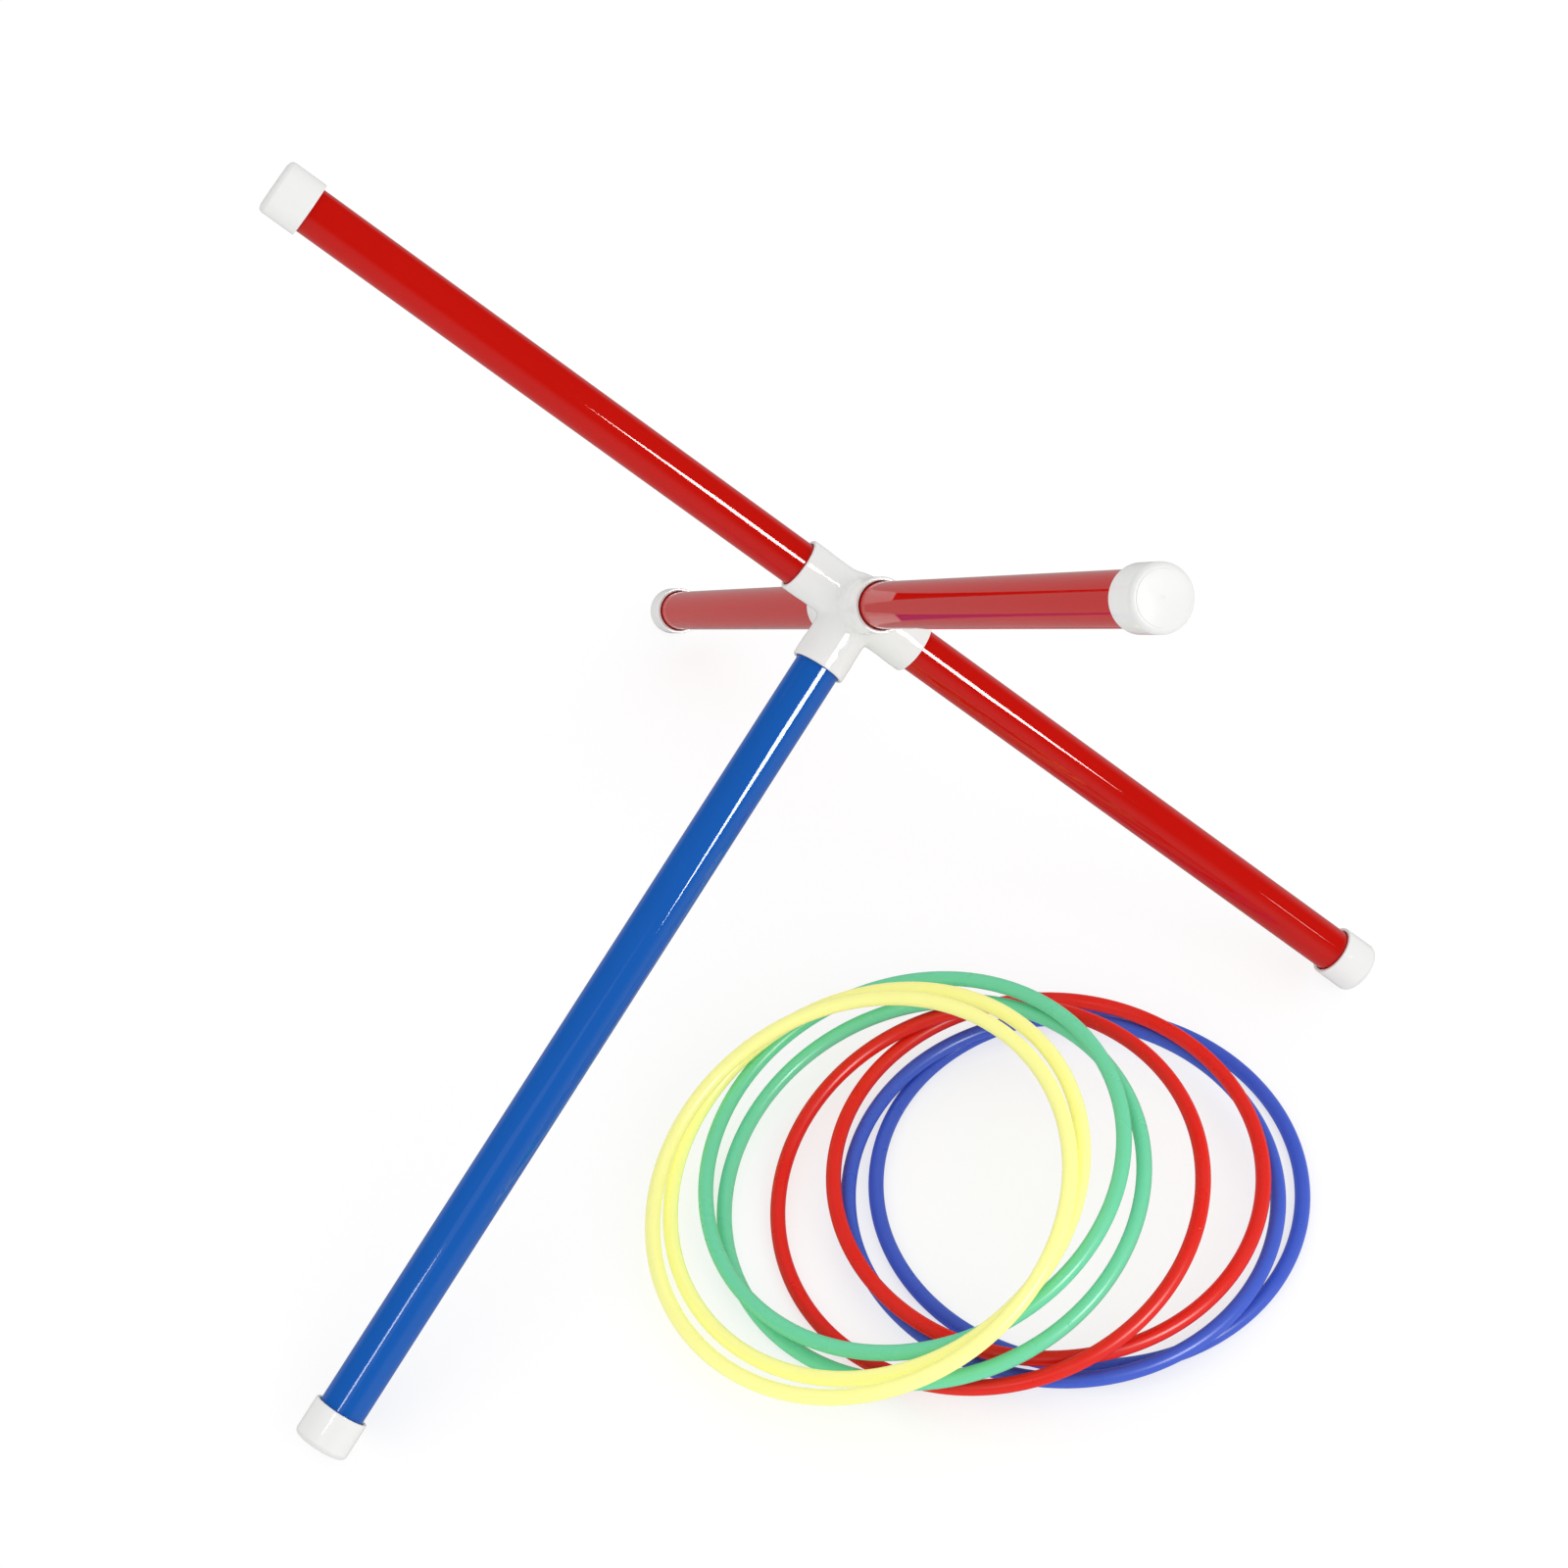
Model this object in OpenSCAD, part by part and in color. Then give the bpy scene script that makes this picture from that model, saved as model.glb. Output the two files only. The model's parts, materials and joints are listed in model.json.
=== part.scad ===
// Ring toss set: a stand of push-fit pipes that rests on three of its five arms,
// and a fanned pile of eight tossing rings beside it.
// The origin is on the floor, under the middle of the whole set. +Z is up and -Y faces the player.

/* [Pipes] */
// Outer diameter of every pipe
pipe_d = 25; // [20:0.5:32]
// Wall thickness of every pipe
pipe_wall = 1.8; // [1.2:0.1:2.5]
// Length of each of the four red pipes
red_pipe_len = 354; // [250:1:400]
// Length of the blue pipe
blue_pipe_len = 503; // [450:1:600]

/* [Connector] */
// Distance from the connector's centre to the mouth of each socket
socket_reach = 40; // [36:0.5:44]
// Distance from the connector's centre to the pipe stop inside each socket
socket_stop = 15; // [14.8:0.1:16]
// Outer diameter of the sockets
socket_d = 30; // [29:0.1:32]
// Length of the thicker collar at each mouth
collar_len = 8; // [5:0.5:12]
// How far the collar stands out from the socket
collar_step = 0.4; // [0.2:0.1:1.2]
// Radius of the ball where the sockets meet
ball_r = 17.5; // [16:0.1:19]
// Radial clearance between a pipe and its socket
fit_gap = 0.05; // [0.02:0.01:0.1]

/* [End caps] */
// Outer diameter of an end cap
cap_d = 30; // [28.6:0.1:31]
// Length of an end cap from its mouth to its face
cap_len = 21; // [18:0.5:30]
// Thickness of the cap's closed end
cap_end = 3; // [2:0.5:5]
// Radius of the rounded outer edge of the closed end
cap_round = 2.5; // [1.5:0.1:2.8]
// Radius of the flat disc raised on the cap's face
face_disc_r = 12.2; // [8:0.1:12.4]
// Height of that disc
face_disc_h = 0.3; // [0.1:0.1:1]

/* [Stance] */
// Turn of the stand about the vertical, from the blue pipe along +X
stand_turn = 227.2; // [180:0.1:270]

/* [Rings] */
// Diameter of a ring, measured through the middle of its tube
ring_d = 232; // [200:1:260]
// Diameter of the ring's tube
ring_tube_d = 8.3; // [6:0.1:8.5]

/* [Hidden] */
$fn = 96;
over = 1;               // overshoot of a cut past the face that it opens
mouth_bevel = 1;        // bevel inside each mouth
bore_r = pipe_d / 2 + fit_gap;
passage_r = pipe_d / 2 - pipe_wall;
stop_gap = 0.2;         // play between a pipe's end and its stop

// Distance from the connector's centre to the outer face of an arm's cap
function arm_len(pipe_len) = socket_stop + pipe_len + cap_end;
red_arm = arm_len(red_pipe_len);
blue_arm = arm_len(blue_pipe_len);

// The stand rests on two red arms and the blue one. lean is the angle between the blue arm and
// straight down; each tip touches the floor with the rounded edge of its cap, so the height of
// the connector above a tip is the same for the red pair and for the blue arm.
function tip_drop(arm, slope) =
    (arm - cap_round) * slope + (cap_d / 2 - cap_round) * sqrt(1 - slope * slope) + cap_round;
function red_slope(lean) = sin(lean) / sqrt(2);
function drop_error(lean) = tip_drop(red_arm, red_slope(lean)) - tip_drop(blue_arm, cos(lean));
function halve(low, high, steps) =
    steps == 0 ? (low + high) / 2
    : drop_error((low + high) / 2) < 0 ? halve((low + high) / 2, high, steps - 1)
    : halve(low, (low + high) / 2, steps - 1);
stand_lean = halve(45, 85, 30);
hub_height = tip_drop(blue_arm, cos(stand_lean));

// Each arm is built along +Z from the connector's centre. In the stand's own frame the red arms
// make a cross in the XY plane and the blue arm points along +Z.
ARM_TURNS = [[0, 90, 0], [0, -90, 0], [90, 0, 0], [-90, 0, 0], [0, 0, 0]];
LEFT = 0;
RIGHT = 1;
FRONT = 2;
BACK = 3;
LONG = 4;
// Each arm's direction in the same frame, and its length
ARM_WAYS = [[1, 0, 0], [-1, 0, 0], [0, -1, 0], [0, 1, 0], [0, 0, 1]];
ARM_LENS = [red_arm, red_arm, red_arm, red_arm, blue_arm];

// A direction of the stand's own frame, turned as the stand stands
cross_turn = -135;      // brings the pair of red legs to +X
stand_tilt = 180 - stand_lean;
function turn_z(v, a) = [v.x * cos(a) - v.y * sin(a), v.x * sin(a) + v.y * cos(a), v.z];
function turn_y(v, a) = [v.x * cos(a) + v.z * sin(a), v.y, v.z * cos(a) - v.x * sin(a)];
function stood(v) = turn_z(turn_y(turn_z(v, cross_turn), stand_tilt), stand_turn);

// The rings, from the bottom of the pile up. Each row holds the name, the colour, where its
// centre is (x and y from the connector's centre), how far it leans, the compass direction
// of its low side, and how far that low side is off the floor, on the rings below it.
RINGS = [
    ["ring_blue_1", "royalblue", 98, -217, 0, 180, 0],
    ["ring_blue_2", "royalblue", 82, -227, 2, 210, 4.6],
    ["ring_red_1", "red", 75, -219, 2, 205, 13.3],
    ["ring_red_2", "red", 41, -231, 11.5, 200, 0],
    ["ring_green_1", "mediumseagreen", 11, -227, 13.2, 195, 0],
    ["ring_green_2", "mediumseagreen", 2, -215, 13, 190, 9],
    ["ring_yellow_1", "khaki", -20, -227, 17, 195, 4.4],
    ["ring_yellow_2", "khaki", -29, -240, 17, 200, 11.9],
];
function ring_name(i) = RINGS[i][0];
function ring_colour(i) = RINGS[i][1];
function ring_lean(i) = RINGS[i][4];
function ring_low_side(i) = RINGS[i][5];
function ring_centre(i) = [
    RINGS[i][2],
    RINGS[i][3],
    ring_tube_d / 2 + ring_d / 2 * sin(ring_lean(i)) + RINGS[i][6] - hub_height
];
// A ring's axis, as a direction
function ring_axis(i) = turn_z([-sin(ring_lean(i)), 0, cos(ring_lean(i))], ring_low_side(i) + 180);

// The set's box along X or Y, so that the origin can be put under its middle
function cap_edge(i, way, k) =
    let (lean = way * stood(ARM_WAYS[i])[k])
    (ARM_LENS[i] - cap_round) * lean + (cap_d / 2 - cap_round) * sqrt(1 - lean * lean) + cap_round;
function ring_edge(i, way, k) =
    way * ring_centre(i)[k] + ring_d / 2 * sqrt(1 - pow(ring_axis(i)[k], 2)) + ring_tube_d / 2;
function box_edge(way, k) = max(concat(
    [for (i = [0 : len(ARM_WAYS) - 1]) cap_edge(i, way, k)],
    [for (i = [0 : len(RINGS) - 1]) ring_edge(i, way, k)]
));
function box_middle(k) = (box_edge(1, k) - box_edge(-1, k)) / 2;
HUB = [-box_middle(0), -box_middle(1), hub_height];

// Puts a child that is built in the stand's own frame where the stand stands
module on_stand() {
    translate(HUB)
        rotate([0, 0, stand_turn])
            rotate([0, stand_tilt, 0])
                rotate([0, 0, cross_turn])
                    children();
}

// Puts a child that is built along +Z on one of the five arms
module on_arm(i) {
    on_stand() rotate(ARM_TURNS[i]) children();
}

// One socket of the connector, solid, with its collar and a bevelled mouth
module socket_body() {
    collar_r = socket_d / 2 + collar_step;
    collar_start = socket_reach - collar_len;
    lip = 0.6;
    cylinder(r = socket_d / 2, h = collar_start);
    translate([0, 0, collar_start - collar_step])
        cylinder(r1 = socket_d / 2, r2 = collar_r, h = collar_step);
    translate([0, 0, collar_start]) cylinder(r = collar_r, h = collar_len - lip);
    translate([0, 0, socket_reach - lip])
        cylinder(r1 = collar_r, r2 = collar_r - lip, h = lip);
}

// The room inside one socket: the pipe's seat, the passage past its stop and the bevel
module socket_room() {
    seat_start = socket_stop - stop_gap;
    cylinder(r = passage_r, h = seat_start + over);
    translate([0, 0, seat_start]) cylinder(r = bore_r, h = socket_reach - seat_start + over);
    translate([0, 0, socket_reach - mouth_bevel])
        cylinder(r1 = bore_r, r2 = bore_r + mouth_bevel, h = mouth_bevel);
}

module five_way_connector() {
    color("whitesmoke")
        on_stand()
            difference() {
                union() {
                    sphere(r = ball_r);
                    for (turn = ARM_TURNS) rotate(turn) socket_body();
                }
                for (turn = ARM_TURNS) rotate(turn) socket_room();
            }
}

// A pipe along +Z, seated on its stop
module pipe(pipe_len) {
    translate([0, 0, socket_stop])
        difference() {
            cylinder(d = pipe_d, h = pipe_len);
            translate([0, 0, -over]) cylinder(r = passage_r, h = pipe_len + 2 * over);
        }
}

// An end cap on a pipe along +Z: a cup with a rounded end and a flat disc on its face
module end_cap(arm) {
    straight = cap_len - cap_round;
    translate([0, 0, arm - cap_len])
        difference() {
            union() {
                cylinder(d = cap_d, h = straight);
                translate([0, 0, straight])
                    rotate_extrude() translate([cap_d / 2 - cap_round, 0]) circle(r = cap_round);
                cylinder(r = cap_d / 2 - cap_round, h = cap_len);
                translate([0, 0, cap_len - over])
                    cylinder(r = face_disc_r, h = over + face_disc_h);
            }
            translate([0, 0, -over]) cylinder(r = bore_r, h = cap_len - cap_end + over);
            translate([0, 0, -over])
                cylinder(r1 = bore_r + mouth_bevel + over, r2 = bore_r, h = mouth_bevel + over);
        }
}

module red_pipe(i) {
    color("firebrick") on_arm(i) pipe(red_pipe_len);
}

module cap_on(i) {
    color("whitesmoke") on_arm(i) end_cap(ARM_LENS[i]);
}

module long_tube() {
    color("mediumblue") on_arm(LONG) pipe(blue_pipe_len);
}

// One tossing ring where it lies in the pile
module tossing_ring(i) {
    color(ring_colour(i))
        translate([HUB.x, HUB.y, HUB.z] + ring_centre(i))
            rotate([0, 0, ring_low_side(i) + 180])
                rotate([0, -ring_lean(i), 0])
                    rotate_extrude() translate([ring_d / 2, 0]) circle(d = ring_tube_d);
}

five_way_connector();
red_pipe(LEFT);  // peg_tube_left
red_pipe(FRONT);  // peg_tube_front
red_pipe(RIGHT);  // leg_tube_right
red_pipe(BACK);  // leg_tube_back
long_tube();
cap_on(LEFT);  // peg_cap_left
cap_on(FRONT);  // peg_cap_front
cap_on(RIGHT);  // leg_cap_right
cap_on(BACK);  // leg_cap_back
cap_on(LONG);  // long_cap
for (i = [0 : len(RINGS) - 1])
    tossing_ring(i);
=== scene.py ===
"""Ring toss set: the looks. Glossy pipes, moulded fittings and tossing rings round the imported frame."""
import json
import math

import bmesh
import bpy
import numpy as np
from mathutils import Matrix, Vector


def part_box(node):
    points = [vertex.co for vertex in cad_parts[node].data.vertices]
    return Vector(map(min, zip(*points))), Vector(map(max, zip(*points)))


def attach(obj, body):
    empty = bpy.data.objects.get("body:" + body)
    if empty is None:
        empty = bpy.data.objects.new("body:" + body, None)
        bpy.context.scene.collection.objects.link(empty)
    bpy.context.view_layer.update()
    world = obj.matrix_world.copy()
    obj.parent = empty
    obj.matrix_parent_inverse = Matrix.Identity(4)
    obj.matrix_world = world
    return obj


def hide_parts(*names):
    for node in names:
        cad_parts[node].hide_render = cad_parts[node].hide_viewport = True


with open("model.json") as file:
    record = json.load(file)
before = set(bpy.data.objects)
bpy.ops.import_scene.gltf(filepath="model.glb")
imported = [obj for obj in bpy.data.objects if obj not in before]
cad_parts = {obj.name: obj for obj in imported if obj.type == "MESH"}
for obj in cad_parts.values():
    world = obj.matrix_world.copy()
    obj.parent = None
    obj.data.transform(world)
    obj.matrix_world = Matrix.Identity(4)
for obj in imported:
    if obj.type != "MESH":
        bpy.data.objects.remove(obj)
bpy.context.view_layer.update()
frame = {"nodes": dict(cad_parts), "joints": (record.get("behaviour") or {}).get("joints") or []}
MM = 0.001

# ---------------------------------------------------------------- sizes of the set, in metres
PIPE_R = 12.5 * MM
PIPE_WALL = 1.8 * MM
PIPE_CHAMFER = 0.25 * MM
FIT_GAP = 0.05 * MM           # radial clearance between a pipe and its socket or cap
BORE_R = PIPE_R + FIT_GAP
PASSAGE_R = PIPE_R - PIPE_WALL

SOCKET_REACH = 40 * MM        # from the connector's centre to a socket's mouth
SOCKET_STOP = 15 * MM         # from the connector's centre to the end of a seated pipe
STOP_GAP = 0.2 * MM           # play between a pipe's end and its stop
SOCKET_R = 15 * MM
COLLAR_STEP = 0.25 * MM       # how far the collar at a mouth stands out from its socket
COLLAR_LEN = 8 * MM
COLLAR_TAPER = 7 * MM         # length over which the socket swells to the collar
BALL_R = 17.5 * MM
SKIN_REACH = 24 * MM          # where the rounded middle of the connector ends and a socket begins
FILLET = 1.2 * MM             # softness of the creases where the sockets meet

CAP_R = 15 * MM
CAP_LEN = 21 * MM
CAP_END = 3 * MM
CAP_ROUND = 2.5 * MM
DISC_R = 12.2 * MM            # the flat disc raised on a cap's face
DISC_H = 0.3 * MM
DISC_EDGE = 0.12 * MM         # rounding of the disc's edge

SOCKET_RIM = 1.0 * MM         # rounding of a socket mouth's outer edge
CAP_RIM = 0.5 * MM            # rounding of a cap mouth's outer edge
RIM_BEVEL = 0.4 * MM          # bevel of a mouth's inner edge
RELIEF = 0.55 * MM            # gap round the pipe just inside a mouth
RELIEF_DEPTH = 6 * MM

RING_R = 116 * MM
RING_TUBE_R = 4.15 * MM
PARTING = 0.05 * MM           # height of the moulding line round a ring

GATE_R = 1.1 * MM             # radius of the mark that a moulding gate leaves
CAP_GATE_H = 0.1 * MM
RING_GATE_H = 0.25 * MM

SIDES = 160                   # points round every turned shape; a multiple of 8
RING_SIDES = 288              # points round a tossing ring
TUBE_SIDES = 48               # points round the ring's tube
GATE_SIDES = 24
PIPE_STEPS = 24               # rows along a pipe
COLLAR_ROWS = 22              # rows from a socket to the crease round it
BORE_ROWS = 6                 # the same inside the passage
WELD = 0.002 * MM             # points of one piece that are this close become one

# ---------------------------------------------------------------- colours, as linear reflectance
WHITE = (0.84, 0.84, 0.825)
PIPE_RED = (0.52, 0.006, 0.003)
PIPE_BLUE = (0.0097, 0.102, 0.43)
RING_COLOURS = {
    "yellow": (1.0, 0.985, 0.34),
    "green": (0.17, 0.7, 0.4),
    "red": (0.79, 0.014, 0.005),
    "blue": (0.053, 0.114, 0.61),
}
# painted shade: the fittings' white made a little darker for a cap's closed end, which turns to the key
# light
CAP_FACE_PAINTED_SHADE = tuple(0.91 * c for c in WHITE)
YELLOW_GLOW = 0.07            # stands in for the light that comes through the pale yellow plastic

# ---------------------------------------------------------------- strengths of the studio's own light
SURROUNDINGS = 0.95
MIRRORED_HORIZON = 0.45
MIRRORED_CEILING = 0.03
FLOOR_GLOW = 0.66
MIRRORED_FLOOR_GLOW = 0.06

ARMS = {
    "left_peg": ("peg_tube_left", "peg_cap_left", PIPE_RED),
    "front_peg": ("peg_tube_front", "peg_cap_front", PIPE_RED),
    "right_leg": ("leg_tube_right", "leg_cap_right", PIPE_RED),
    "back_leg": ("leg_tube_back", "leg_cap_back", PIPE_RED),
    "long_leg": ("long_tube", "long_cap", PIPE_BLUE),
}
RINGS = [n for n in sorted(frame["nodes"]) if n.startswith("ring_")]


# ---------------------------------------------------------------- where the CAD puts things
def box_middle(node):
    """The middle of a CAD node's box."""
    low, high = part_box(node)
    return (low + high) / 2


def arm_way(body):
    """The direction of an arm, which is the axis that its pipe pulls out along."""
    joint = next(j for j in frame["joints"] if j["name"] == body + "_pull")
    return Vector(joint["axis"]).normalized()


def node_points(node):
    """The vertices of a CAD node, as an array."""
    mesh = frame["nodes"][node].data
    points = np.zeros(len(mesh.vertices) * 3)
    mesh.vertices.foreach_get("co", points)
    return points.reshape(-1, 3)


def flat_axis(node):
    """The upward direction that a flat, round node is thinnest along."""
    points = node_points(node)
    axis = Vector(np.linalg.svd(points - points.mean(0), full_matrices=False)[2][2])
    return axis if axis.z > 0 else -axis


HUB = (box_middle("peg_tube_left") + box_middle("leg_tube_right")) / 2


def placed(origin, x_axis, y_axis, z_axis):
    """The matrix of an object with that origin and those axes."""
    turn = Matrix((x_axis, y_axis, z_axis)).transposed().to_4x4()
    return Matrix.Translation(origin) @ turn


def pointing(origin, way):
    """The matrix of an object whose +Z points along way."""
    return Matrix.Translation(origin) @ way.to_track_quat("Z", "Y").to_matrix().to_4x4()


# ---------------------------------------------------------------- mesh code
def lathe(profile, sides, closed=False):
    """Vertices and faces of (radius, height) pairs turned about Z. A pair on the axis is one point."""
    verts, rows, faces = [], [], []
    for radius, height in profile:
        start = len(verts)
        if radius == 0:
            verts.append((0, 0, height))
            rows.append([start] * sides)
            continue
        for k in range(sides):
            angle = 2 * math.pi * k / sides
            verts.append((radius * math.cos(angle), radius * math.sin(angle), height))
        rows.append(list(range(start, start + sides)))
    pairs = list(zip(rows, rows[1:]))
    if closed:
        pairs.append((rows[-1], rows[0]))
    for row, above in pairs:
        for k in range(sides):
            after = (k + 1) % sides
            face = (row[k], row[after], above[after], above[k])
            faces.append(tuple(dict.fromkeys(face)))
    return verts, faces


def arc(centre, radius, start, end, steps):
    """Points of a rounded edge in a profile, with angles in degrees from straight outwards."""
    turns = [math.radians(start + (end - start) * i / steps) for i in range(steps + 1)]
    return [(centre[0] + radius * math.cos(a), centre[1] + radius * math.sin(a)) for a in turns]


def dome(radius, height):
    """A small closed dome, such as the mark that a moulding gate leaves."""
    profile = [
        (0, height),
        (radius * 0.4, height * 0.93),
        (radius * 0.7, height * 0.7),
        (radius * 0.9, height * 0.38),
        (radius, 0),
        (radius, -2 * height),
        (0, -2 * height),
    ]
    return lathe(profile, GATE_SIDES)


def joined(*parts):
    """Several (vertices, faces) pairs as one."""
    verts, faces = [], []
    for part_verts, part_faces in parts:
        start = len(verts)
        verts += [tuple(v) for v in part_verts]
        faces += [tuple(start + i for i in face) for face in part_faces]
    return verts, faces


def moved(part, matrix):
    """A (vertices, faces) pair with its vertices put through a matrix."""
    verts, faces = part
    return [tuple(matrix @ Vector(v)) for v in verts], faces


def add_piece(name, shape, matrix, material, body, node, sharp=32):
    """Makes a piece that stands for a CAD node and rides on its body."""
    mesh = bpy.data.meshes.new(name)
    mesh.from_pydata(shape[0], [], shape[1])
    work = bmesh.new()
    work.from_mesh(mesh)
    bmesh.ops.remove_doubles(work, verts=work.verts, dist=WELD)
    bmesh.ops.recalc_face_normals(work, faces=work.faces)
    work.to_mesh(mesh)
    work.free()
    mesh.polygons.foreach_set("use_smooth", [True] * len(mesh.polygons))
    mesh.set_sharp_from_angle(angle=math.radians(sharp))
    mesh.materials.append(material)
    piece = bpy.data.objects.new(name, mesh)
    bpy.context.scene.collection.objects.link(piece)
    piece.matrix_world = matrix
    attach(piece, body)
    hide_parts(node)
    return piece


def mouth(mouth_height, outer_r, edge, inward):
    """Profile of a mouth, from its outer side over the rim to the bore. inward is -1 if it opens up."""
    rim = (outer_r - edge, mouth_height + inward * edge)
    relief_r = BORE_R + RELIEF
    side = -90 * inward
    return arc(rim, edge, 0, side, 8) + [
        (relief_r + RIM_BEVEL, mouth_height),
        (relief_r + RIM_BEVEL * 0.3, mouth_height + inward * RIM_BEVEL * 0.3),
        (relief_r, mouth_height + inward * RIM_BEVEL),
        (relief_r, mouth_height + inward * RELIEF_DEPTH),
        (BORE_R, mouth_height + inward * (RELIEF_DEPTH + RELIEF)),
    ]


# ---------------------------------------------------------------- plastic, as node materials
def node_chain(material):
    """Empties a material and gives back its tree, its shader and a helper that adds linked nodes."""
    tree = material.node_tree
    tree.nodes.clear()
    output = tree.nodes.new("ShaderNodeOutputMaterial")
    shader = tree.nodes.new("ShaderNodeBsdfPrincipled")
    tree.links.new(shader.outputs["BSDF"], output.inputs["Surface"])
    coords = tree.nodes.new("ShaderNodeTexCoord")

    def add(kind, values=(), links=(), **settings):
        node = tree.nodes.new(kind)
        for key, value in settings.items():
            setattr(node, key, value)
        for socket, value in dict(values).items():
            node.inputs[socket].default_value = value
        for socket, source in dict(links).items():
            tree.links.new(source, node.inputs[socket])
        return node

    return tree, shader, coords.outputs["Object"], add


def plastic(name, colour, seed, roughness, waves, grain, mirror, streaks=0.0, shade=0.08, specks=0.0):
    """A glossy plastic: slow waves and fine grain in its surface, uneven gloss and a little shade.

    waves, grain and streaks are bump heights in metres. streaks run along the piece, as on an
    extruded pipe. mirror is the specular level, shade is how far the colour drifts, and specks is
    the share of surface cells that hold a speck of dust.
    """
    material = bpy.data.materials.new(name)
    material.use_nodes = True
    tree, shader, place, add = node_chain(material)

    def noise(scale, detail, stretch=(1, 1, 1)):
        mapping = add("ShaderNodeMapping", {"Scale": stretch}, {"Vector": place})
        texture = add(
            "ShaderNodeTexNoise",
            {"Scale": scale, "Detail": detail, "W": float(seed)},
            {"Vector": mapping.outputs["Vector"]},
            noise_dimensions="4D",
        )
        return texture.outputs["Fac"]

    # colour: a slow drift between a deeper and a paler shade, and a few specks of dust
    deep = tuple(c * (1 - shade) for c in colour)
    pale = tuple(min(1.0, c * (1 + shade) + 0.01 * shade) for c in colour)
    drift = add(
        "ShaderNodeMix",
        {"A": (*deep, 1), "B": (*pale, 1)},
        {"Factor": noise(22, 3, (1, 1, 0.5))},
        data_type="RGBA",
    )
    skin = drift.outputs["Result"]
    if specks:
        cells = add(
            "ShaderNodeTexVoronoi",
            {"Scale": 90.0, "W": float(seed)},
            {"Vector": place},
            voronoi_dimensions="4D",
        )
        near = add(
            "ShaderNodeMapRange",
            {"From Min": 0.05, "From Max": 0.03, "To Min": 0.0, "To Max": 1.0},
            {"Value": cells.outputs["Distance"]},
        )
        chosen = add("ShaderNodeSeparateColor", (), {"Color": cells.outputs["Color"]})
        few = add(
            "ShaderNodeMath",
            {1: 1 - specks},
            {0: chosen.outputs["Red"]},
            operation="GREATER_THAN",
        )
        both = add(
            "ShaderNodeMath",
            (),
            {0: near.outputs["Result"], 1: few.outputs["Value"]},
            operation="MULTIPLY",
        )
        faint = add("ShaderNodeMath", {1: 0.45}, {0: both.outputs["Value"]}, operation="MULTIPLY")
        dusted = add(
            "ShaderNodeMix",
            {"B": (0.75, 0.72, 0.7, 1)},
            {"Factor": faint.outputs["Value"], "A": skin},
            data_type="RGBA",
        )
        skin = dusted.outputs["Result"]
    tree.links.new(skin, shader.inputs["Base Color"])

    # gloss: handled patches are a little duller
    gloss = add(
        "ShaderNodeMapRange",
        {"From Min": 0.3, "From Max": 0.7, "To Min": roughness * 0.8, "To Max": roughness * 1.35},
        {"Value": noise(38, 4)},
    )
    tree.links.new(gloss.outputs["Result"], shader.inputs["Roughness"])

    # relief: slow waves, then fine grain, then streaks
    normal = None
    layers = [(waves, noise(26, 1)), (grain, noise(900, 2))]
    if streaks:
        layers.append((streaks, noise(700, 2, (1, 1, 0.012))))
    for height, source in layers:
        bump = add(
            "ShaderNodeBump",
            {"Strength": 1.0, "Distance": height},
            {"Height": source},
        )
        if normal:
            tree.links.new(normal, bump.inputs["Normal"])
        normal = bump.outputs["Normal"]
    tree.links.new(normal, shader.inputs["Normal"])

    shader.inputs["IOR"].default_value = 1.5
    shader.inputs["Specular IOR Level"].default_value = mirror
    return material


def pipe_plastic(name, colour, seed):
    return plastic(
        name,
        colour,
        seed,
        roughness=0.025,
        waves=0.006 * MM,
        grain=0.00005 * MM,
        mirror=0.44,
        streaks=0.0004 * MM,
        shade=0.05,
        specks=0.12,
    )


def fitting_plastic(name, seed):
    return plastic(
        name,
        WHITE,
        seed,
        roughness=0.05,
        waves=0.005 * MM,
        grain=0.0002 * MM,
        mirror=0.5,
        shade=0.015,
        specks=0.05,
    )


def face_plastic_with_painted_shade(name, seed):
    """The duller finish of a cap's rounded closed end, in a white painted a little darker as shade."""
    return plastic(
        name,
        CAP_FACE_PAINTED_SHADE,
        seed,
        roughness=0.5,
        waves=0.02 * MM,
        grain=0.002 * MM,
        mirror=0.4,
        shade=0.015,
    )


def ring_plastic(name, colour, seed, glow):
    """The softer gloss of a ring, and the strength of its own faint light."""
    material = plastic(
        name,
        colour,
        seed,
        roughness=0.28,
        waves=0.01 * MM,
        grain=0.001 * MM,
        mirror=0.4,
        shade=0.02,
    )
    shader = material.node_tree.nodes["Principled BSDF"]
    shader.inputs["Emission Color"].default_value = (*colour, 1)
    shader.inputs["Emission Strength"].default_value = glow
    return material


# ---------------------------------------------------------------- pipes and end caps
def pipe_shape(start, end):
    """A tube along +Z with a small chamfer on each edge."""
    cut = PIPE_CHAMFER
    straight = end - start - 2 * cut
    heights = [start + cut + straight * i / PIPE_STEPS for i in range(PIPE_STEPS + 1)]
    outside = [(PIPE_R, h) for h in heights]
    inside = [(PASSAGE_R, h) for h in reversed(heights)]
    far_end = [(PIPE_R - cut, end), (PASSAGE_R + cut, end)]
    near_end = [(PASSAGE_R + cut, start), (PIPE_R - cut, start)]
    return lathe(outside + far_end + inside + near_end, SIDES, closed=True)


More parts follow.
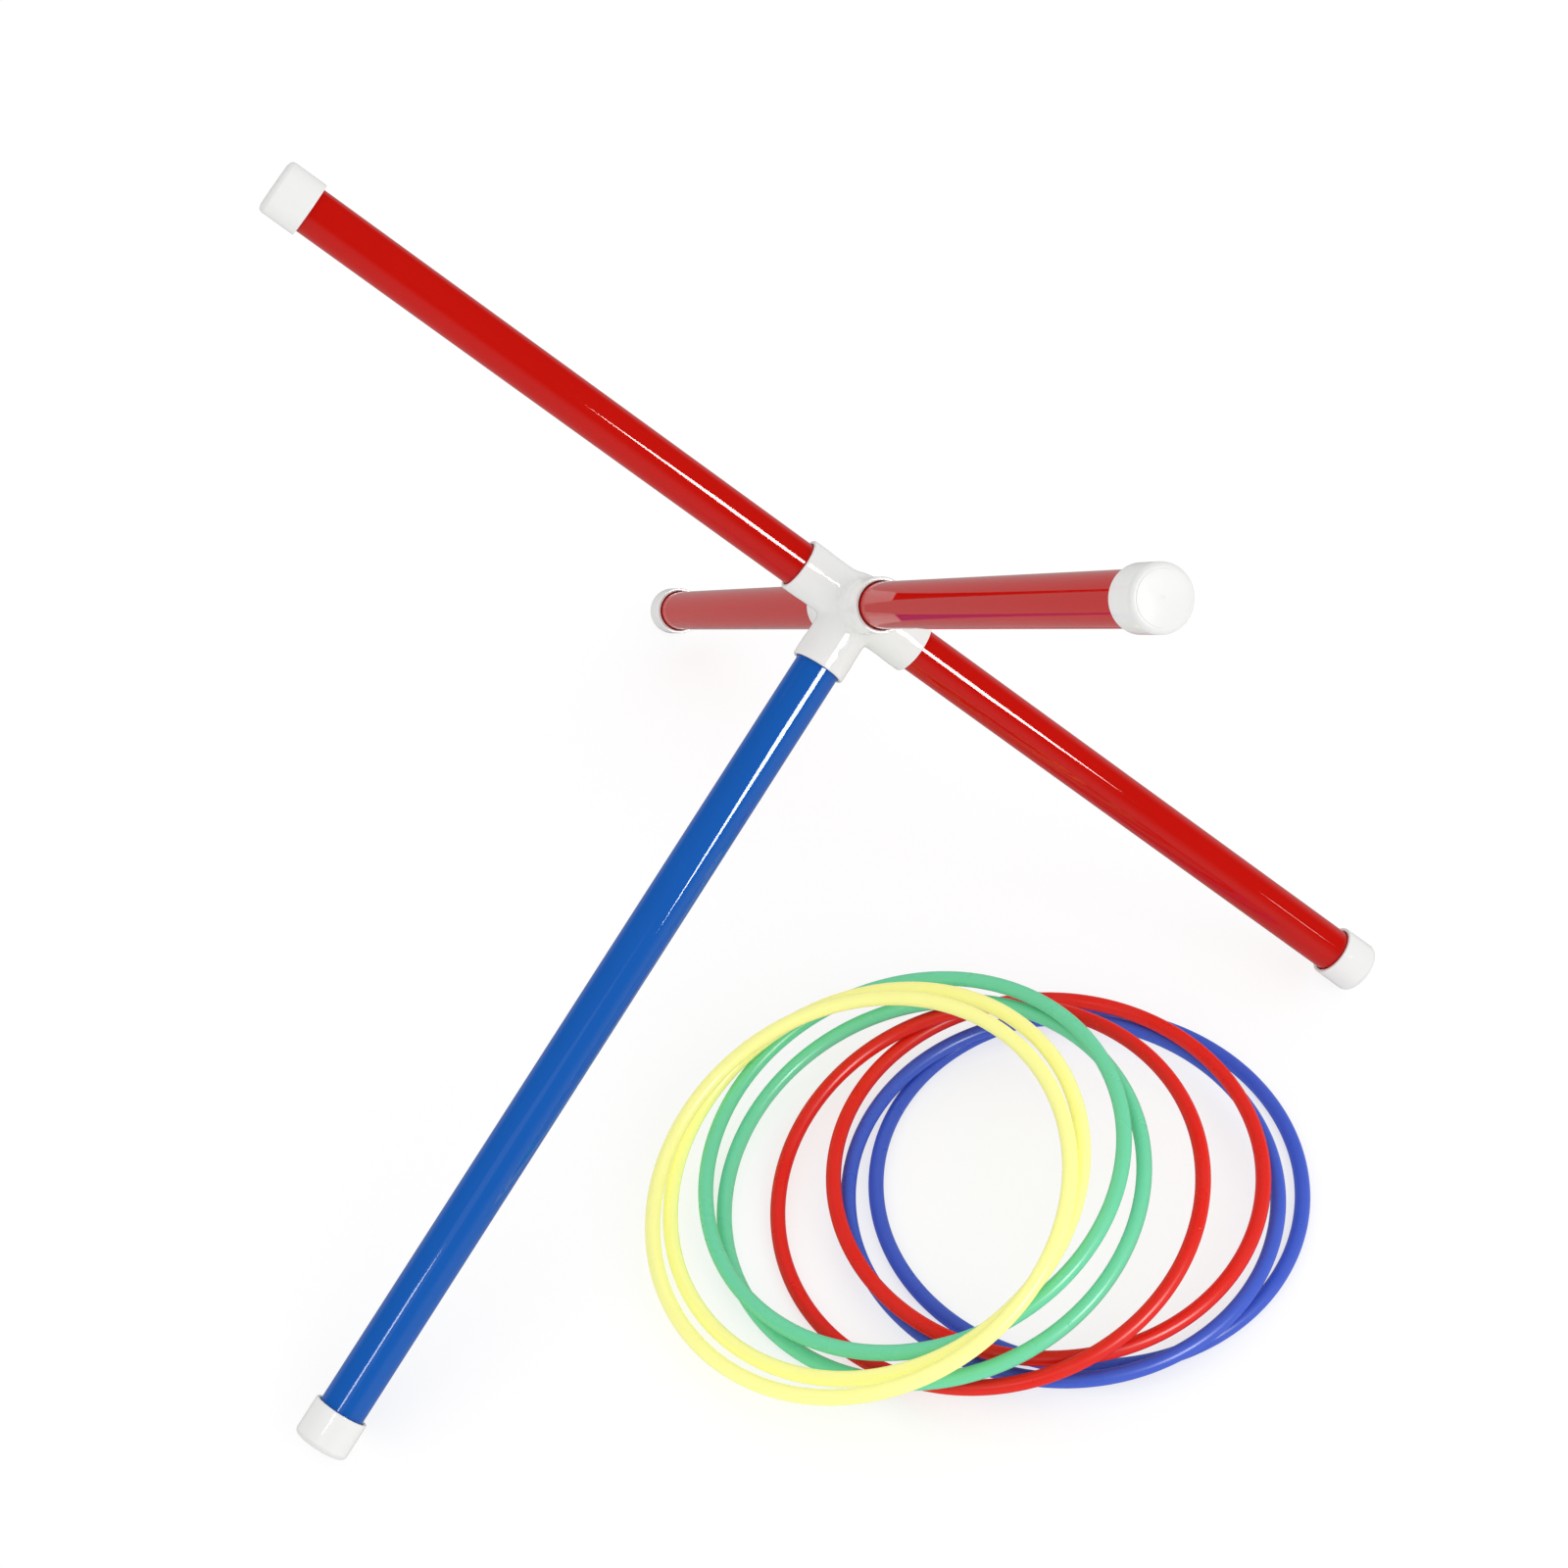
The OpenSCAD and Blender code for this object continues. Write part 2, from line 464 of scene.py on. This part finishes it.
def cap_shape(face):
    """An end cap along +Z whose flat face is at that height, and whose mouth opens downwards."""
    round_centre = (CAP_R - CAP_ROUND, face - CAP_ROUND)
    profile = [(0, face + DISC_H)]
    profile += [(DISC_R * share, face + DISC_H) for share in (0.35, 0.7)]
    profile += arc((DISC_R - DISC_EDGE, face + DISC_H - DISC_EDGE), DISC_EDGE, 90, 0, 4)
    profile += [(DISC_R + 0.02 * MM, face)]
    profile += arc(round_centre, CAP_ROUND, 86, 0, 14)
    straight = (face - CAP_ROUND) - (face - CAP_LEN + CAP_RIM)
    profile += [(CAP_R, face - CAP_ROUND - straight * share) for share in (0.33, 0.67)]
    profile += mouth(face - CAP_LEN, CAP_R, CAP_RIM, 1)
    profile += [(BORE_R, face - CAP_END), (0, face - CAP_END)]
    gate = moved(dome(GATE_R, CAP_GATE_H), Matrix.Translation((0, 0, face + DISC_H)))
    return joined(lathe(profile, SIDES), gate)


def tube_end(node, way):
    """How far a pipe's far end is from the connector's centre."""
    return float(((node_points(node) - np.array(HUB)) @ np.array(way)).max())


def build_arms():
    for seed, (body, (tube, cap, colour)) in enumerate(ARMS.items(), start=1):
        way = arm_way(body)
        matrix = pointing(HUB, way)
        end = tube_end(tube, way)
        pipe_material = pipe_plastic(tube + "_plastic", colour, seed)
        cap_material = fitting_plastic(cap + "_plastic", seed + 10)
        pipe = pipe_shape(SOCKET_STOP, end)
        add_piece(tube + "_skin", pipe, matrix, pipe_material, body, tube)
        face = end + CAP_END
        piece = add_piece(
            cap + "_skin", cap_shape(face), matrix, cap_material, body, cap
        )
        piece.data.materials.append(face_plastic_with_painted_shade(cap + "_face_plastic_with_painted_shade", seed + 20))
        # the rounded closed end takes the rougher face material, whose white is painted a little darker
        # as shade
        for polygon in piece.data.polygons:
            if polygon.center.z > face - CAP_ROUND:
                polygon.material_index = 1


# ---------------------------------------------------------------- the five-way connector
# In its own frame the four red arms are +X, -X, -Y and +Y, and the blue arm is +Z.
AXES = [Vector(v) for v in ((1, 0, 0), (-1, 0, 0), (0, -1, 0), (0, 1, 0), (0, 0, 1))]
BARE_SIDE = Vector((0, 0, -1))


def side_axes(way):
    """Two directions square to way and to each other, along the connector's own axes."""
    across = Vector((way.y, way.z, way.x))
    return across, way.cross(across)


def skin_distance(directions, tube_r, ball_r, softness):
    """How far a soft union of five tubes and a ball reaches along each direction from the centre."""
    low = np.full(len(directions), 0.5 * tube_r)
    high = np.full(len(directions), 4 * tube_r)
    for _ in range(40):
        middle = (low + high) / 2
        points = directions * middle[:, None]
        gaps = [middle - ball_r]
        for axis in AXES:
            along = np.clip(points @ np.array(axis), 0, None)
            gaps.append(np.linalg.norm(points - along[:, None] * np.array(axis), axis=1) - tube_r)
        union = -softness * np.log(np.exp(-np.array(gaps) / softness).sum(0))
        inside = union < 0
        low = np.where(inside, middle, low)
        high = np.where(inside, high, middle)
    return low


def rows_to_faces(rows, count, loop):
    """Faces of a grid of rows, each of count points. loop joins the last point to the first."""
    faces = []
    last = count if loop else count - 1
    for i in range(rows - 1):
        for k in range(last):
            after = (k + 1) % count
            a, b = i * count, (i + 1) * count
            faces.append((a + k, a + after, b + after, b + k))
    return faces


def arm_collar(way, tube_r, reach, ball_r, softness, steps):
    """The part of the skin round one arm, from the circle at reach out to the crease all round it."""
    across, up = side_axes(way)
    angles = np.array([2 * math.pi * k / SIDES for k in range(SIDES)])
    ring = np.outer(np.cos(angles), across) + np.outer(np.sin(angles), up)
    border = 1 / np.maximum(abs(np.cos(angles)), abs(np.sin(angles)))
    rows = [np.array(way) * reach + ring * tube_r]
    for i in range(1, steps + 1):
        share = math.sin(math.pi / 2 * i / steps)
        spread = (1 - share) * tube_r / reach + share * border
        directions = np.array(way) + ring * spread[:, None]
        directions /= np.linalg.norm(directions, axis=1)[:, None]
        rows.append(directions * skin_distance(directions, tube_r, ball_r, softness)[:, None])
    return np.concatenate(rows), rows_to_faces(steps + 1, SIDES, True)


def bare_patch(tube_r, ball_r, softness):
    """The part of the skin on the side that has no arm."""
    across, up = side_axes(BARE_SIDE)
    edge = SIDES // 8
    turns = [math.tan(2 * math.pi * k / SIDES) for k in range(-edge, edge + 1)]
    points = [BARE_SIDE + across * a + up * b for a in turns for b in turns]
    directions = np.array([p.normalized() for p in points])
    verts = directions * skin_distance(directions, tube_r, ball_r, softness)[:, None]
    return verts, rows_to_faces(len(turns), len(turns), False)


def socket_profile():
    """One socket, from where it leaves the skin, over its mouth, down to the passage past its stop."""
    collar_r = SOCKET_R + COLLAR_STEP
    collar_start = SOCKET_REACH - COLLAR_LEN
    seat = SOCKET_STOP - STOP_GAP
    profile = [(SOCKET_R, SKIN_REACH)]
    for share in (0, 0.15, 0.3, 0.5, 0.7, 0.85, 1):
        swell = share * share * (3 - 2 * share)
        profile.append((SOCKET_R + COLLAR_STEP * swell, collar_start - COLLAR_TAPER * (1 - share)))
    profile += mouth(SOCKET_REACH, collar_r, SOCKET_RIM, -1)
    profile += [(BORE_R, seat), (PASSAGE_R, seat)]
    return profile, seat


def turned(profile, way):
    """A profile turned about an arm's axis, with its points on the same angles as the skin's."""
    across, up = side_axes(way)
    verts = []
    for radius, height in profile:
        for k in range(SIDES):
            angle = 2 * math.pi * k / SIDES
            side = across * math.cos(angle) + up * math.sin(angle)
            verts.append(way * height + side * radius)
    return verts, rows_to_faces(len(profile), SIDES, True)


def build_connector():
    profile, seat = socket_profile()
    parts = [bare_patch(SOCKET_R, BALL_R, FILLET), bare_patch(PASSAGE_R, PASSAGE_R, FILLET / 4)]
    for way in AXES:
        parts.append(arm_collar(way, SOCKET_R, SKIN_REACH, BALL_R, FILLET, COLLAR_ROWS))
        parts.append(arm_collar(way, PASSAGE_R, seat, PASSAGE_R, FILLET / 4, BORE_ROWS))
        parts.append(turned(profile, way))
    left, back, long_way = arm_way("left_peg"), arm_way("back_leg"), arm_way("long_leg")
    matrix = placed(HUB, left, back, long_way)
    add_piece(
        "five_way_connector_skin",
        joined(*parts),
        matrix,
        fitting_plastic("five_way_connector_plastic", 9),
        "connector",
        "five_way_connector",
    )


# ---------------------------------------------------------------- tossing rings
def ring_shape(gate_turn):
    """A moulded ring about Z, with a fine moulding line inside and out and one small gate mark."""
    profile = []
    for k in range(TUBE_SIDES):
        angle = 2 * math.pi * k / TUBE_SIDES
        radius = RING_TUBE_R
        if k % (TUBE_SIDES // 2) == 0:
            radius += PARTING
        profile.append((RING_R + radius * math.cos(angle), radius * math.sin(angle)))
    way = Vector((math.cos(gate_turn), math.sin(gate_turn), 0))
    outwards = (way + Vector((0, 0, 1))).normalized()
    spot = way * RING_R + outwards * RING_TUBE_R
    gate = moved(dome(GATE_R, RING_GATE_H), pointing(spot, outwards))
    return joined(lathe(profile, RING_SIDES, closed=True), gate)


def build_rings():
    for number, node in enumerate(RINGS):
        colour = node.split("_")[1]
        axis = flat_axis(node)
        level = Vector((1, 0, 0)).cross(axis).normalized()
        matrix = placed(box_middle(node), axis.cross(level) * -1, level * -1, axis)
        shape = ring_shape(gate_turn=1.9 * number + 0.35)
        glow = YELLOW_GLOW if colour == "yellow" else 0
        material = ring_plastic(node + "_plastic", RING_COLOURS[colour], number + 30, glow)
        add_piece(node + "_skin", shape, matrix, material, node, node, sharp=60)


# ---------------------------------------------------------------- studio
def soft_light(name, place, target, size, power, glossy, diffuse):
    """A soft light of that width and height, at place, that faces target.

    glossy says that shiny surfaces mirror it, and diffuse that it lights matt ones.
    """
    data = bpy.data.lights.new(name, "AREA")
    data.shape = "RECTANGLE"
    data.size, data.size_y = size
    data.energy = power
    light = bpy.data.objects.new(name, data)
    bpy.context.scene.collection.objects.link(light)
    light.location = place
    light.rotation_mode = "QUATERNION"
    light.rotation_quaternion = (target - place).to_track_quat("-Z", "Y")
    light.visible_glossy = glossy
    light.visible_diffuse = diffuse
    light.visible_camera = False


def from_compass(azimuth, elevation, distance):
    """A point that far from the hub. Azimuth 0 is behind the set, and 90 is to its right."""
    a, e = math.radians(azimuth), math.radians(elevation)
    way = Vector((math.sin(a) * math.cos(e), math.cos(a) * math.cos(e), math.sin(e)))
    return HUB + way * distance


def build_floor():
    """Pale paper with a light of its own, which softens the shadows and is hardly mirrored."""
    bpy.ops.mesh.primitive_grid_add(x_subdivisions=8, y_subdivisions=8, size=30)
    floor = bpy.context.object
    floor.name = "studio_floor"
    material = bpy.data.materials.new("studio_floor_paper")
    material.use_nodes = True
    tree, shader, place, add = node_chain(material)
    drift = add("ShaderNodeTexNoise", {"Scale": 3.0, "Detail": 2.0}, {"Vector": place})
    paper = add(
        "ShaderNodeMix",
        {"A": (0.35, 0.35, 0.35, 1), "B": (0.37, 0.37, 0.37, 1)},
        {"Factor": drift.outputs["Fac"]},
        data_type="RGBA",
    )
    tree.links.new(paper.outputs["Result"], shader.inputs["Base Color"])
    rays = add("ShaderNodeLightPath")
    glow = add(
        "ShaderNodeMapRange",
        {"To Min": FLOOR_GLOW, "To Max": MIRRORED_FLOOR_GLOW},
        {"Value": rays.outputs["Is Glossy Ray"]},
    )
    tree.links.new(glow.outputs["Result"], shader.inputs["Emission Strength"])
    shader.inputs["Roughness"].default_value = 0.95
    shader.inputs["Specular IOR Level"].default_value = 0.1
    shader.inputs["Emission Color"].default_value = (1, 1, 1, 1)
    floor.data.materials.append(material)


def build_world():
    """White surroundings that shiny surfaces see as a dark ceiling above a pale horizon."""
    world = bpy.data.worlds.new("studio_world")
    bpy.context.scene.world = world
    world.use_nodes = True
    tree = world.node_tree
    tree.nodes.clear()
    output = tree.nodes.new("ShaderNodeOutputWorld")
    choose = tree.nodes.new("ShaderNodeMixShader")
    rays = tree.nodes.new("ShaderNodeLightPath")
    plain = tree.nodes.new("ShaderNodeBackground")
    plain.inputs["Color"].default_value = (1, 1, 1, 1)
    plain.inputs["Strength"].default_value = SURROUNDINGS
    coords = tree.nodes.new("ShaderNodeTexCoord")
    split = tree.nodes.new("ShaderNodeSeparateXYZ")
    height = tree.nodes.new("ShaderNodeMapRange")
    height.inputs["From Min"].default_value = 0.02
    height.inputs["From Max"].default_value = 0.3
    height.inputs["To Min"].default_value = MIRRORED_HORIZON
    height.inputs["To Max"].default_value = MIRRORED_CEILING
    mirrored = tree.nodes.new("ShaderNodeBackground")
    tree.links.new(coords.outputs["Generated"], split.inputs["Vector"])
    tree.links.new(split.outputs["Z"], height.inputs["Value"])
    tree.links.new(height.outputs["Result"], mirrored.inputs["Strength"])
    tree.links.new(rays.outputs["Is Glossy Ray"], choose.inputs["Fac"])
    tree.links.new(plain.outputs["Background"], choose.inputs[1])
    tree.links.new(mirrored.outputs["Background"], choose.inputs[2])
    tree.links.new(choose.outputs["Shader"], output.inputs["Surface"])
    world.cycles.sampling_method = "NONE"


def build_lights():
    """A key light at the front right, in a mirrored and a matt part, and three that are only mirrored."""
    key = from_compass(138.5, 30, 2.5)
    soft_light("key_highlight", key, HUB, (0.6, 0.8), 44, glossy=True, diffuse=False)
    soft_light("key_fill", key, HUB, (1.6, 1.6), 12, glossy=False, diffuse=True)
    low = from_compass(128, 14, 2.4)
    soft_light("low_highlight", low, HUB, (0.1, 0.1), 0.3, glossy=True, diffuse=False)
    brow = from_compass(204, 43, 2.4)
    soft_light("brow_highlight", brow, HUB, (0.26, 0.26), 2.6, glossy=True, diffuse=False)
    card = from_compass(198, 42, 2.4)
    soft_light("brow_card", card, HUB, (1.1, 1.1), 1.7, glossy=True, diffuse=False)


def build_camera():
    """The photograph's viewpoint: in front, looking down at the set, with a slight roll."""
    place = HUB + Vector((-45.6, -1052.0, 977.4)) * MM
    forward = Vector((-0.0015, 0.6876, -0.7261)).normalized()
    roll = 5.34
    data = bpy.data.cameras.new("camera")
    data.sensor_width = 36
    data.lens = 61.11
    data.clip_start = 0.05
    data.clip_end = 100
    camera = bpy.data.objects.new("camera", data)
    bpy.context.scene.collection.objects.link(camera)
    level = forward.to_track_quat("-Z", "Y").to_matrix().to_4x4()
    camera.matrix_world = Matrix.Translation(place) @ level @ Matrix.Rotation(math.radians(-roll), 4, "Z")
    bpy.context.scene.camera = camera


build_arms()
build_connector()
build_rings()
build_floor()
build_world()
build_lights()
build_camera()
bpy.context.scene.view_settings.view_transform = "Standard"
